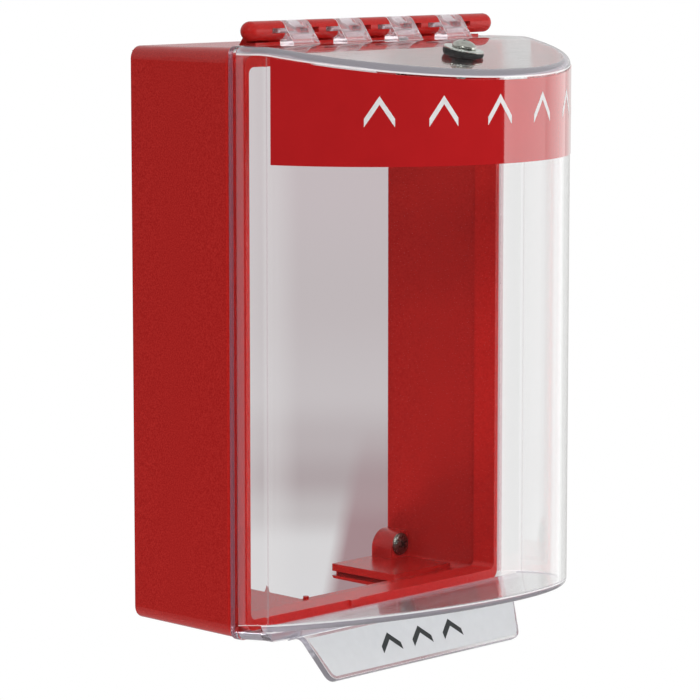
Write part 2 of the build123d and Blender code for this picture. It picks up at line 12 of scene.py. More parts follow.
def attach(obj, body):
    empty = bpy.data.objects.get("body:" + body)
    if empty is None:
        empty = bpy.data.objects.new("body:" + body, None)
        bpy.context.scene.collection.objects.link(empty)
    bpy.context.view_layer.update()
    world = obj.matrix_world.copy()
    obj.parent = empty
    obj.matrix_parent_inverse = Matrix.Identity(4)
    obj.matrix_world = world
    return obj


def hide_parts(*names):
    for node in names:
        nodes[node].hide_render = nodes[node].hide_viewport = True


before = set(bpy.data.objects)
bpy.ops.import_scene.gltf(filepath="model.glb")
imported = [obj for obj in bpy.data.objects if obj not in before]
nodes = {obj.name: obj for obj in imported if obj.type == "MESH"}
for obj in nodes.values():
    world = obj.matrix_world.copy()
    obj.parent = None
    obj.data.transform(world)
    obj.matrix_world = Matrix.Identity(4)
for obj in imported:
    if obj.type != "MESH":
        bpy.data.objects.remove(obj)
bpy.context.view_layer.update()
scene = bpy.context.scene
scene.view_settings.view_transform = "Standard"
MM = 0.001

# ---- camera ----
CAMERA_PLACE = (-0.9465, -0.9308, 0.1592)
CAMERA_AZIMUTH = math.radians(46.856)
CAMERA_PITCH = math.radians(7.371)
CAMERA_LENS = 177.48
SENSOR_WIDTH = 36
VIEW_LINE = Vector((math.sin(CAMERA_AZIMUTH), math.cos(CAMERA_AZIMUTH), 0))


def make_camera():
    data = bpy.data.cameras.new("camera")
    data.lens = CAMERA_LENS
    data.sensor_width = SENSOR_WIDTH
    camera = bpy.data.objects.new("camera", data)
    scene.collection.objects.link(camera)
    camera.location = CAMERA_PLACE
    camera.rotation_euler = (math.pi / 2 - CAMERA_PITCH, 0, -CAMERA_AZIMUTH)
    data.clip_start, data.clip_end = 0.05, 50
    scene.camera = camera


# ---- helpers for node trees ----
def new_material(name):
    material = bpy.data.materials.new(name)
    material.use_nodes = True
    tree = material.node_tree
    return material, tree, tree.nodes["Principled BSDF"]


def add(tree, kind, **values):
    node = tree.nodes.new(kind)
    for key, value in values.items():
        setattr(node, key, value)
    return node


def noise(tree, scale, detail=2.0, roughness=0.5, place=None):
    texture = add(tree, "ShaderNodeTexNoise")
    texture.inputs["Scale"].default_value = scale
    texture.inputs["Detail"].default_value = detail
    texture.inputs["Roughness"].default_value = roughness
    place = place or add(tree, "ShaderNodeTexCoord").outputs["Object"]
    tree.links.new(place, texture.inputs["Vector"])
    return texture.outputs["Fac"]


def ramp(tree, source, low, high, start=0.3, end=0.7):
    """The values from `low` to `high` while the source goes from `start` to `end`."""
    node = add(tree, "ShaderNodeMapRange")
    node.inputs["From Min"].default_value = start
    node.inputs["From Max"].default_value = end
    node.inputs["To Min"].default_value = low
    node.inputs["To Max"].default_value = high
    tree.links.new(source, node.inputs["Value"])
    return node.outputs["Result"]


def calculate(tree, operation, *values):
    """Math node on sockets or plain numbers."""
    node = add(tree, "ShaderNodeMath", operation=operation)
    for i, value in enumerate(values):
        if isinstance(value, (int, float)):
            node.inputs[i].default_value = value
        else:
            tree.links.new(value, node.inputs[i])
    return node.outputs["Value"]


def blend(tree, share, a, b):
    """Mix of two colours, each a socket or plain numbers."""
    node = add(tree, "ShaderNodeMix", data_type="RGBA")
    tree.links.new(share, node.inputs["Factor"])
    for name, value in (("A", a), ("B", b)):
        if isinstance(value, tuple):
            node.inputs[name].default_value = (*value, 1)
        else:
            tree.links.new(value, node.inputs[name])
    return node.outputs["Result"]


def along(tree, place, heading):
    """How far a direction goes along a heading."""
    node = add(tree, "ShaderNodeVectorMath", operation="DOT_PRODUCT")
    node.inputs[1].default_value = heading
    tree.links.new(place, node.inputs[0])
    return node.outputs["Value"]


def bump(tree, shader, source, strength, distance):
    node = add(tree, "ShaderNodeBump")
    node.inputs["Strength"].default_value = strength
    node.inputs["Distance"].default_value = distance
    tree.links.new(source, node.inputs["Height"])
    tree.links.new(node.outputs["Normal"], shader.inputs["Normal"])


def mottle_by(tree, shader, source, dark, light, smooth_end, rough_end):
    """Colour and roughness that vary together with one noise."""
    tree.links.new(blend(tree, ramp(tree, source, 0, 1), dark, light), shader.inputs["Base Color"])
    tree.links.new(ramp(tree, source, smooth_end, rough_end), shader.inputs["Roughness"])


# ---- materials ----
GRAIN_SCALE = 1900.0
GRAIN_DARK = (0.32, 0.0075, 0.0065)
GRAIN_LIGHT = (0.465, 0.0200, 0.0165)
GRAIN_ROUGHNESS = (0.17, 0.24)
GRAIN_BUMP = (0.25, 0.0001)
CLEAR_IOR = 1.5
CLEAR_SHADOW = (0.96, 0.965, 0.97)
STREAK_TURN = math.radians(20)
STREAK_SCALE = (60, 700, 60)
STREAK_BUMP = (0.35, 0.0001)


def red_plastic(name="red_plastic", painted_light=1.0, specular=0.32):
    """Moulded red plastic with a fine grain in its colour, roughness and relief; its first argument
    raises the red as painted light.
    """
    material, tree, shader = new_material(name)
    source = noise(tree, GRAIN_SCALE, 2, 0.6)
    dark, light = ((colour[0] * painted_light, *colour[1:]) for colour in (GRAIN_DARK, GRAIN_LIGHT))
    mottle_by(tree, shader, source, dark, light, *GRAIN_ROUGHNESS)
    shader.inputs["Specular IOR Level"].default_value = specular
    bump(tree, shader, source, *GRAIN_BUMP)
    return material


def clear_plastic(name="clear_plastic", roughness=0.015, colour=(0.985, 0.988, 0.994), transmission=1.0):
    """Clear plastic that lets shadow rays pass, so that what is inside is lit as through thin walls."""
    material, tree, shader = new_material(name)
    shader.inputs["Base Color"].default_value = (*colour, 1)
    shader.inputs["Roughness"].default_value = roughness
    shader.inputs["IOR"].default_value = CLEAR_IOR
    shader.inputs["Transmission Weight"].default_value = transmission
    open_way = add(tree, "ShaderNodeBsdfTransparent")
    open_way.inputs["Color"].default_value = (*CLEAR_SHADOW, 1)
    path = add(tree, "ShaderNodeLightPath")
    mix = add(tree, "ShaderNodeMixShader")
    tree.links.new(path.outputs["Is Shadow Ray"], mix.inputs["Fac"])
    tree.links.new(shader.outputs["BSDF"], mix.inputs[1])
    tree.links.new(open_way.outputs["BSDF"], mix.inputs[2])
    tree.links.new(mix.outputs["Shader"], tree.nodes["Material Output"].inputs["Surface"])
    return material


def streaked_plastic():
    """Clear plastic with fine moulding streaks, for the inside of the bow's top and floor."""
    material = clear_plastic("streaked_plastic", 0.10)
    tree = material.node_tree
    squeeze = add(tree, "ShaderNodeMapping")
    squeeze.inputs["Rotation"].default_value = (0, 0, STREAK_TURN)
    squeeze.inputs["Scale"].default_value = STREAK_SCALE
    tree.links.new(add(tree, "ShaderNodeTexCoord").outputs["Object"], squeeze.inputs["Vector"])
    source = noise(tree, 1.0, 3.0, place=squeeze.outputs["Vector"])
    bump(tree, tree.nodes["Principled BSDF"], source, *STREAK_BUMP)
    return material


def plain(name, colour, roughness, metallic=0.0, scale=500.0, mottle=0.06, spread=0.05, relief=0.0,
          coat=0.0):
    """Nearly even colour and roughness, mottled by noise, with an optional fine relief in metres and an
    optional clear coat of the given roughness."""
    material, tree, shader = new_material(name)
    source = noise(tree, scale, 3)
    mottle_by(tree, shader, source, tuple(c * (1 - mottle) for c in colour),
              tuple(c * (1 + mottle) for c in colour), roughness - spread, roughness + spread)
    shader.inputs["Metallic"].default_value = metallic
    if relief:
        bump(tree, shader, source, 0.5, relief)
    if coat:
        shader.inputs["Coat Weight"].default_value = 1
        shader.inputs["Coat Roughness"].default_value = coat
    return material


def steel(name, colour, roughness, mottle=0.2, spread=0.08, relief=0.00003):
    """Bright or darkened metal with fine marks."""
    return plain(name, colour, roughness, 1.0, 900, mottle, spread, relief)


def dress(node, material):
    nodes[node].data.materials.clear()
    nodes[node].data.materials.append(material)


# Slots of the clear cover. Its moulded edges are hazier than the rest, and their tint is partly painted
# reflection; walls seen nearly edge on get a painted pink, thin lines a painted highlight, and the rear
# bead a painted red.
CLEAR_SLOT, HAZY_SLOT, HAZE_AND_REFLECTION_SLOT, PAINTED_RED_BEAD_SLOT, HIGHLIGHT_LINE_SLOT, STREAK_SLOT, PAINTED_PINK_SKIRT_SLOT = range(7)
CLEAR_MATERIALS = (
    clear_plastic(),
    clear_plastic("hazy_plastic", 0.05, (0.80, 0.72, 0.75), 0.85),
    # Lavender-grey on moulded edges: partly real haze, partly painted reflection of the fillet bands.
    clear_plastic("hazy_edge_painted_reflection", 0.08, (0.54, 0.51, 0.57), 0.56),
    # Red-brown haze on the rear bead: painted red of the box rim seen through it.
    clear_plastic("hazy_bead_painted_red", 0.08, (0.38, 0.16, 0.21), 0.62),
    # Painted highlight: near-white strips on fillet rows, lip rims and knuckle edges stand in for thin
    # lamp highlights.
    clear_plastic("painted_highlight_edge", 0.05, (0.97, 0.97, 0.98), 0.22),
    streaked_plastic(),
    # Pink on the skirt walls seen nearly edge on: painted red of the box seen through them.
    clear_plastic("hazy_skirt_painted_pink", 0.04, (0.85, 0.56, 0.60), 0.84),
)

# ---- helpers for pieces built in code ----
SHARP = math.radians(30)
OUTLINE_PLACE = {
    "x": lambda p, t: (t, -p[0], p[1]),          # an outline of (depth, z) drawn out along x
    "depth": lambda p, t: (p[0], -t, p[1]),      # an outline of (x, z) drawn out along the depth
    "z": lambda p, t: (p[0], -p[1], t),          # an outline of (x, depth) drawn out along z
}


def new_object(name, mesh, materials=CLEAR_MATERIALS):
    data = bpy.data.meshes.new(name)
    mesh.to_mesh(data)
    mesh.free()
    for material in materials:
        data.materials.append(material)
    piece = bpy.data.objects.new(name, data)
    scene.collection.objects.link(piece)
    return piece


def joined(low_points, high_points):
    """Closed mesh between two outlines of as many points, in metres."""
    mesh = bmesh.new()
    low, high = ([mesh.verts.new(point) for point in points] for points in (low_points, high_points))
    mesh.faces.new(low)
    mesh.faces.new(high[::-1])
    for i in range(len(low)):
        j = (i + 1) % len(low)
        mesh.faces.new((low[i], high[i], high[j], low[j]))
    bmesh.ops.recalc_face_normals(mesh, faces=mesh.faces)
    return mesh


def round_edges(mesh, width, segments, edges=None):
    """Rounds the given edges, or all sharp ones, and gives the faces that this makes."""
    if edges is None:
        edges = [e for e in mesh.edges if len(e.link_faces) == 2 and e.calc_face_angle() > SHARP]
    made = bmesh.ops.bevel(mesh, geom=edges, offset=width * MM, segments=segments, profile=0.5,
                           affect="EDGES", clamp_overlap=True)
    return made["faces"]


def prism(name, outline, low, high, axis="x", bevel=0.0, segments=2, edge_slot=CLEAR_SLOT):
    """Closed prism of a 2-D outline along one of the ways in OUTLINE_PLACE."""
    place = OUTLINE_PLACE[axis]
    mesh = joined(*([Vector(place(p, t)) * MM for p in outline] for t in (low, high)))
    if bevel:
        for face in round_edges(mesh, bevel, segments):
            face.material_index = edge_slot
    return new_object(name, mesh)


def flat_prism(name, outline, low, high, place, bevel=0.0, segments=2, materials=CLEAR_MATERIALS):
    """Closed prism of a flat outline between two local heights, set in place by a matrix."""
    mesh = joined(*([place @ Vector((*p, t)) for p in outline] for t in (low, high)))
    if bevel:
        round_edges(mesh, bevel, segments)
    return new_object(name, mesh, materials)


def rectangle(half, first, second, middle=0.0):
    """Corners of a rectangle, from its row at `first` to its row at `second`."""
    left, right = middle - half, middle + half
    return [(left, first), (right, first), (right, second), (left, second)]


def rounded_outline(points, radii, steps):
    """A closed outline with each corner rounded by its own radius."""
    result = []
    count = len(points)
    for i, (point, radius) in enumerate(zip(points, radii)):
        here = Vector(point)
        if not radius:
            result.append(tuple(here))
            continue
        before = (Vector(points[i - 1]) - here).normalized()
        after = (Vector(points[(i + 1) % count]) - here).normalized()
        half = before.angle(after) / 2
        centre = here + (before + after).normalized() * radius / math.sin(half)
        start = here + before * radius / math.tan(half) - centre
        end = here + after * radius / math.tan(half) - centre
        whole = start.angle(end)
        for k in range(steps + 1):
            a = whole * k / steps
            arm = (start * math.sin(whole - a) + end * math.sin(a)) / math.sin(whole)
            result.append(tuple(centre + arm))
    return result


def arc(centre, radius, start, stop, steps):
    """Points of a circle's arc in the (depth, z) plane, angles in degrees from straight ahead."""
    return [(centre[0] + radius * math.cos(math.radians(start + (stop - start) * i / steps)),
             centre[1] + radius * math.sin(math.radians(start + (stop - start) * i / steps)))
            for i in range(steps + 1)]


def combine(target, tool, operation):
    """Exact boolean of two closed pieces. The tool is used up."""
    step = target.modifiers.new("step", "BOOLEAN")
    step.operation = operation
    step.solver = "EXACT"
    step.object = tool
    bpy.context.view_layer.update()
    graph = bpy.context.evaluated_depsgraph_get()
    made = bpy.data.meshes.new_from_object(target.evaluated_get(graph))
    target.modifiers.remove(step)
    old = target.data
    target.data = made
    bpy.data.meshes.remove(old)
    used = tool.data
    bpy.data.objects.remove(tool)
    bpy.data.meshes.remove(used)
    return target


def union(pieces):
    """One closed piece of several, made and joined one by one."""
    pieces = iter(pieces)
    whole = next(pieces)
    for piece in pieces:
        combine(whole, piece, "UNION")
    return whole


def smooth(piece, angle):
    """Smooth shading inside the angle, in degrees, with big flat faces kept flat."""
    piece.data.shade_smooth()
    piece.data.set_sharp_from_angle(angle=math.radians(angle))
    weigh = piece.modifiers.new("weigh", "WEIGHTED_NORMAL")
    weigh.keep_sharp = True
    weigh.weight = 90


# ---- sizes of the clear cover, as in the frame's own solids ----
COVER_BACK = 52.25
COVER_HALF = 72.55
COVER_TOP = 108.7
COVER_WALL = 2.5
COVER_CORNER = 3.2
SKIRT_FRONT = 59.5
SIDE_DEPTHS = (SKIRT_FRONT, 63, 66)        # stations on the straight side
BOW_START = 70.0
BOW_REACH = 128.8
BOW_RADIUS = (COVER_HALF**2 + (BOW_REACH - BOW_START) ** 2) / (2 * (BOW_REACH - BOW_START))
BOW_CENTRE = BOW_REACH - BOW_RADIUS
BOW_FLOOR = -103.0
BOW_EDGE = 3.0
EDGE_CHANGE = (60.0, 68.0)                 # depths between which the corner's round becomes the bow's
SHOULDER_ROUND = 6.0
TOP_SLOPE = 0.145
FLOOR_SLOPE = 0.160
CREASE = 3.0                               # half the length over which the top starts to slope
SKIRT_LOW = -108.0
SKIRT_RISE = 1.7
SKIRT_SLOPE = SKIRT_RISE / (BOW_START - COVER_BACK)
FOOT_TOP = -96.0
LIP_DEPTH = 75.5
LIP_HEIGHT = 3.75
LIP_END = 72.0
LIP_END_WIDTH = 13.0
LIP_END_RISE = 1.45
LIP_ROUNDS = (0, 0, 1.5, 2.5, 2.5, 1.5)
LIP_TOP = -90.0
LIP_EDGE = 0.5
LIP_SHARP = 0.6                            # radians
# The first step takes the bead slot with its painted red.
BEADS = ((73, 0.01, 2.2, PAINTED_RED_BEAD_SLOT),       # half width, start and end past the rear edge, slot
         (72.85, 2.1, 3.6, CLEAR_SLOT))
BEAD_EDGE = 0.25
BEAD_HOLE = (70.3, 2.3, 2.8)               # half width, wall at the top and at the bottom
RAIL_NOTCH = 62.0
RAIL_NOTCH_DEPTH = 57.0
RAIL_NOTCH_HEIGHTS = (105.0, 113.0)
FOOT_INSET = 0.02                          # these three keep joined surfaces out of one plane
BEAD_INSET = 0.02
LIP_INSET = 0.03

# ---- how finely the cover is divided ----
SHOULDER_STEPS = 6
BOW_STEPS = 60
EDGE_STEPS = 8
CORNER_STEPS = 6
CREASE_SHARE = 0.35                        # of the bow's first step, a fine line where the bow starts
CREASE_COLUMN = len(SIDE_DEPTHS) + 3 + SHOULDER_STEPS


def top_height(depth):
    """Height and slope of the cover's top, flat over the skirt and sloping over the bow."""
    past = depth - (BOW_START - CREASE)
    if past <= 0:
        return COVER_TOP, 0.0
    if past >= 2 * CREASE:
        return COVER_TOP - TOP_SLOPE * (depth - BOW_START), TOP_SLOPE
    slope = TOP_SLOPE * past / (2 * CREASE)
    return COVER_TOP - slope * past / 2, slope


def floor_height(depth):
    """Height and slope of the bow's floor."""
    return BOW_FLOOR + FLOOR_SLOPE * (depth - BOW_START), FLOOR_SLOPE


def underside(depth):
    """Height of the skirt's and lip's underside."""
    return SKIRT_LOW + SKIRT_SLOPE * (depth - COVER_BACK)


def plan_stations():
    """Left half of the cover's plan from rear to front, as (x, depth, normal x, normal depth)."""
    centre_x = COVER_HALF - SHOULDER_ROUND
    reach = BOW_RADIUS - SHOULDER_ROUND
    centre_depth = BOW_CENTRE + math.sqrt(reach**2 - centre_x**2)
    turn = math.asin(centre_x / reach)
    side = [COVER_BACK, *SIDE_DEPTHS, centre_depth - 2, centre_depth - 1]
    stations = [(-COVER_HALF, depth, -1.0, 0.0) for depth in side]
    for i in range(SHOULDER_STEPS):
        a = math.pi / 2 + (turn - math.pi / 2) * i / SHOULDER_STEPS
        stations.append((-centre_x - SHOULDER_ROUND * math.sin(a),
                         centre_depth + SHOULDER_ROUND * math.cos(a), -math.sin(a), math.cos(a)))
    for i in (0, CREASE_SHARE, *range(1, BOW_STEPS + 1)):
        a = turn * (1 - i / BOW_STEPS)
        stations.append((-BOW_RADIUS * math.sin(a), BOW_CENTRE + BOW_RADIUS * math.cos(a),
                         -math.sin(a), math.cos(a)))
    return stations


def edge_radius(depth):
    """The skirt's corners are rounder than the bow's edges."""
    start, end = EDGE_CHANGE
    share = min(max((depth - start) / (end - start), 0), 1)
    return COVER_CORNER + (BOW_EDGE - COVER_CORNER) * share


def edge_arc(station, surface, upward, inset):
    """Points of the rounded edge between the wall at one station and the top or the floor."""
    x, depth, nx, nd = station
    radius = edge_radius(depth)
    cx, cd = x - radius * nx, depth - radius * nd
    height, slope = surface(cd)
    lean = math.hypot(1, slope)
    cz = height - upward * radius * lean
    wall = Vector((nx, nd, 0))
    flat = Vector((0, slope, upward)) / lean
    whole = wall.angle(flat)
    points = []
    for i in range(EDGE_STEPS + 1):
        a = whole * i / EDGE_STEPS
        normal = (wall * math.sin(whole - a) + flat * math.sin(a)) / math.sin(whole)
        points.append((cx + normal.x * (radius - inset), cd + normal.y * (radius - inset),
                       cz + normal.z * (radius - inset)))
    return points


def wall_slot(row, depth, on_crease):
    """Slot of an outer face, by its row, its front depth and whether the bow starts there."""
    # The rows beside the wall are the painted highlight lines.
    if row in (EDGE_STEPS - 1, EDGE_STEPS + 1):
        return HIGHLIGHT_LINE_SLOT
    # The other fillet rows get the haze with its painted reflection.
    if row != EDGE_STEPS:
        return HAZE_AND_REFLECTION_SLOT
    # The skirt's side walls get the painted pink.
    if depth < SKIRT_FRONT + 0.1:
        return PAINTED_PINK_SKIRT_SLOT
    return HAZY_SLOT if on_crease else CLEAR_SLOT


def bowed_solid(name, inset, back):
    """The skirt and bow as one closed block, moved in by `inset`: (x, depth, z) columns joined up."""
    stations = plan_stations()
    x, _, nx, nd = stations[0]
    stations[0] = (x, back, nx, nd)
    columns = []
    for station in stations:
        low = edge_arc(station, floor_height, -1, inset)
        high = edge_arc(station, top_height, 1, inset)
        columns.append(low[::-1] + high)
    rows = len(columns[0])
    columns += [[(-x, depth, z) for x, depth, z in column] for column in columns[:-1]][::-1]
    mesh = bmesh.new()
    grid = [[mesh.verts.new((p.x * MM, -p.y * MM, p.z * MM)) for p in map(Vector, column)]
            for column in columns]
    last = len(grid) - 1
    for c in range(last):
        a, b = grid[c], grid[c + 1]
        on_crease = c in (CREASE_COLUMN, last - 1 - CREASE_COLUMN)
        for i in range(rows - 1):
            face = mesh.faces.new((a[i], b[i], b[i + 1], a[i + 1]))
            if not inset:
                face.material_index = wall_slot(i, -min(a[i].co.y, b[i].co.y) / MM, on_crease)
    for i in range(last // 2):
        j = last - i
        for row, order in ((rows - 1, 1), (0, -1)):
            ring = [grid[i][row], grid[i + 1][row], grid[j - 1][row], grid[j][row]]
            ring = ring[:2] + ring[3:] if i + 1 == j - 1 else ring
            face = mesh.faces.new(ring[::order])
            if inset:
                face.material_index = STREAK_SLOT
    mesh.faces.new(grid[0][::-1] + grid[last])
    bmesh.ops.recalc_face_normals(mesh, faces=mesh.faces)
    return new_object(name, mesh)


def skirt_foot(name, half, back, front, inset):
    """Lower part of the skirt, deeper than the bow's floor, with its two lower corners rounded."""
    corner = COVER_CORNER - inset
    outline = rectangle(half, FOOT_TOP, SKIRT_LOW + inset)
    outline = rounded_outline(outline, [0, 0, corner, corner], CORNER_STEPS)
    piece = prism(name, outline, back, front, "depth")
    for vertex in piece.data.vertices:
        depth = -vertex.co.y / MM
        if vertex.co.z / MM < FOOT_TOP - 1:
            vertex.co.z += SKIRT_SLOPE * (depth - COVER_BACK) * MM
    # The underside is painted pale and hazy, in place of the dark reflection it shows as clear plastic.
    for face in piece.data.polygons:
        if not inset and face.normal.z < -0.1:
            face.material_index = HAZE_AND_REFLECTION_SLOT
    return piece


def lip_bar():
    """Bar under the front edge of the bow's floor, its ends swept back."""
    back = BOW_START - COVER_WALL
    half = COVER_HALF - LIP_INSET
    points = [(-half, back), (half, back), (half, LIP_END), (half - LIP_END_WIDTH, LIP_DEPTH),
              (-half + LIP_END_WIDTH, LIP_DEPTH), (-half, LIP_END)]
    piece = prism("lip", rounded_outline(points, LIP_ROUNDS, 4), 0, LIP_HEIGHT, "z")
    for vertex in piece.data.vertices:
        vertex.co.z += underside(-vertex.co.y / MM) * MM
    mesh = bmesh.new()
    mesh.from_mesh(piece.data)
    rims = [e for e in mesh.edges if e.calc_face_angle() > LIP_SHARP
            and max(v.co.y for v in e.verts) / MM < -back - 0.1]
    # The whole bar gets the haze, partly real, partly painted reflection.
    for face in mesh.faces:
        face.material_index = HAZE_AND_REFLECTION_SLOT
    # The rounded rims get the painted highlight line.
    for face in round_edges(mesh, LIP_EDGE, 2, rims):
        face.material_index = HIGHLIGHT_LINE_SLOT
    mesh.to_mesh(piece.data)
    mesh.free()
    corner = rounded_outline(rectangle(half, LIP_TOP, SKIRT_LOW + LIP_END_RISE),
                             [0, 0, COVER_CORNER, COVER_CORNER], CORNER_STEPS)
    return combine(piece, prism("corner", corner, back - 1, LIP_DEPTH + 1, "depth"), "INTERSECT")


def bead_ring(half, back, front, slot):
    """One step of the rear bead, still without its hole."""
    outline = rounded_outline(rectangle(half, COVER_TOP - BEAD_INSET, SKIRT_LOW + BEAD_INSET),
                              [COVER_CORNER] * 4, CORNER_STEPS)
    ring = prism("bead", outline, COVER_BACK + back, COVER_BACK + front, "depth", BEAD_EDGE, 2, slot)
    for face in ring.data.polygons:
        face.material_index = slot
    return ring


def rear_bead():
    """Low bead round the skirt's rear edge, with a lower clear step in front of it."""
    bead = union(bead_ring(*row) for row in BEADS)
    half, top_wall, low_wall = BEAD_HOLE
    hole = rectangle(half, COVER_TOP - BEAD_INSET - top_wall, SKIRT_LOW + BEAD_INSET + low_wall)
    hole = rounded_outline(hole, [COVER_CORNER - 2] * 4, 4)
    return combine(bead, prism("bead_hole", hole, COVER_BACK - 2, COVER_BACK + 6, "depth"), "DIFFERENCE")


# ---- lift tab ----
TAB_ROOT = 117.0
TAB_TIP = 105.0
TAB_REACH = 9.0
TAB_DROP = 16.2
TAB_WALL = 2.8
TAB_FLARE = 3.0
TAB_CORNER = 4.0
TAB_SUNK = 0.9
TAB_EDGE = 0.6
TAB_LENGTH = math.hypot(TAB_REACH, TAB_DROP)
TAB_TOP = SKIRT_LOW + SKIRT_RISE + 1.0


def tab_frame():
    """Matrix whose local x is X, local y runs up the tab and local z is its outward normal."""
    up = Vector((0, TAB_REACH, TAB_DROP)).normalized()
    across = Vector((1, 0, 0))
    normal = across.cross(up)
    turn = Matrix((across, up, normal)).transposed().to_4x4()
    return Matrix.Translation(Vector((0, -LIP_DEPTH, TAB_TOP)) * MM) @ turn @ Matrix.Scale(MM, 4)


def lift_tab():
    """Sloping tab that widens into the lip, hazier round its rim than on its faces; the rim's haze is
    partly painted reflection.
    """
    root, tip, wide = TAB_ROOT / 2, TAB_TIP / 2, TAB_ROOT / 2 + 2 * TAB_FLARE
    points = [(-wide, TAB_SUNK), (-wide, 0), (-root, 0), (-tip, -TAB_LENGTH),
              (tip, -TAB_LENGTH), (root, 0), (wide, 0), (wide, TAB_SUNK)]
    radii = [0, 0, TAB_FLARE, TAB_CORNER, TAB_CORNER, TAB_FLARE, 0, 0]
    outline = rounded_outline(points, radii, CORNER_STEPS)
    tab = flat_prism("tab", outline, -TAB_WALL, 0, tab_frame(), TAB_EDGE, 3)
    front = (tab_frame().to_3x3() @ Vector((0, 0, 1))).normalized()
    for face in tab.data.polygons:
        if abs(face.normal.dot(front)) < 0.95:
            face.material_index = HAZE_AND_REFLECTION_SLOT
    return tab


def make_cover_shell():
    """Skirt, bow, lip, rear bead and tab in one moulding, hollow and open to the rear."""
    back, front = COVER_BACK, BOW_START - COVER_WALL
    shell = bowed_solid("clear_shell", 0, back)
    combine(shell, skirt_foot("foot", COVER_HALF - FOOT_INSET, back, front, 0), "UNION")
    for make in (lip_bar, rear_bead, lift_tab):
        combine(shell, make(), "UNION")
    combine(shell, bowed_solid("inside", COVER_WALL, back - COVER_WALL), "DIFFERENCE")
    combine(shell, skirt_foot("foot_inside", COVER_HALF - COVER_WALL - FOOT_INSET, back - COVER_WALL,
                              BOW_START - COVER_WALL / 2, COVER_WALL), "DIFFERENCE")
    notch = rectangle(RAIL_NOTCH, *RAIL_NOTCH_HEIGHTS)
    return combine(shell, prism("notch", notch, back - 5, RAIL_NOTCH_DEPTH, "depth"), "DIFFERENCE")


# ---- clear knuckles that snap into the red rail ----
HINGE_DEPTH = 54.0
HINGE_Z = 113.7
BARREL = 3.6
BARREL_TURN = 262          # degrees of the barrel that stand free of its arm
KNUCKLES = (-42.0, -14.0, 14.0, 42.0)
KNUCKLE_WIDTH = 14.0
KNUCKLE_GAP = 0.3
KNUCKLE_REACH = 8.1        # from the hinge axis to the front of the foot
KNUCKLE_SUNK = 1.2         # depth of the foot in the cover's top
KNUCKLE_EDGE = 0.35
ARM_WALL = 2.2
ARM_BACK = 0.7             # the rear of the foot, past the hinge axis
RIB_WALL = 2.0             # closed side of the hollow under the arm
HOLLOW_FLOOR = 1.2         # above the cover's top
HOLLOW_CORNERS = ((3.9, 3.4), (3.2, 2.2), (2.2, HOLLOW_FLOOR))       # past the axis and above the top
HOLLOW_ROUND = 0.4
WINDOW_OFFSET = 1.0
WINDOW_HALF = (3, 1)
WINDOW_ROUND = 0.6
PIN_RADIUS = 1.0
PIN_REACH = (5.0, 2.0)     # out of the knuckle's left and right side
PIN_SUNK = 0.5
PIN_EDGE = 0.25


def clear_knuckle(centre):
    """Barrel with its arm and foot, a side rib, a window and the two stub pins."""
    low = centre - KNUCKLE_WIDTH / 2 + KNUCKLE_GAP
    high = centre + KNUCKLE_WIDTH / 2 - KNUCKLE_GAP
    foot = (HINGE_DEPTH + KNUCKLE_REACH, COVER_TOP)
    reach = math.hypot(foot[0] - HINGE_DEPTH, HINGE_Z - foot[1])
    straight = math.sqrt(reach**2 - BARREL**2)
    lean = math.atan2(HINGE_Z - foot[1], HINGE_DEPTH - foot[0]) - math.atan2(BARREL, straight)
    tangent = math.degrees(lean - math.pi / 2)
    run = ARM_WALL / math.sin(lean)
    sunk = COVER_TOP - KNUCKLE_SUNK
    back = HINGE_DEPTH + ARM_BACK
    outline = arc((HINGE_DEPTH, HINGE_Z), BARREL, tangent, tangent + BARREL_TURN, 26)
    outline += [(back, COVER_TOP + HOLLOW_FLOOR), (back, sunk), (foot[0], sunk), foot]
    # The knuckle's rounded edges carry the painted highlight line.
    knuckle = prism("knuckle", outline, low, high, "x", KNUCKLE_EDGE, 2, HIGHLIGHT_LINE_SLOT)
    inner = [(foot[0] - run - 0.2, COVER_TOP + HOLLOW_FLOOR)]
    inner += [(HINGE_DEPTH + depth, COVER_TOP + height) for depth, height in HOLLOW_CORNERS]
    hollow = rounded_outline(inner, [HOLLOW_ROUND] * 4, 3)
    combine(knuckle, prism("hollow", hollow, low + RIB_WALL, high + 1), "DIFFERENCE")
    half, rise = WINDOW_HALF
    window = rectangle(half, HINGE_Z - rise, HINGE_Z + rise, centre + WINDOW_OFFSET)
    window = rounded_outline(window, [WINDOW_ROUND] * 4, 3)
    combine(knuckle, prism("window", window, HINGE_DEPTH - 9, HINGE_DEPTH + 9, "depth"), "DIFFERENCE")
    circle = arc((HINGE_DEPTH, HINGE_Z), PIN_RADIUS, 0, 337.5, 15)
    for start, stop in ((low - PIN_REACH[0], low + PIN_SUNK), (high - PIN_SUNK, high + PIN_REACH[1])):
        combine(knuckle, prism("pin", circle, start, stop, "x", PIN_EDGE, 1), "UNION")
    for face in knuckle.data.polygons:
        if face.material_index != HIGHLIGHT_LINE_SLOT:
            face.material_index = HAZY_SLOT
    return knuckle


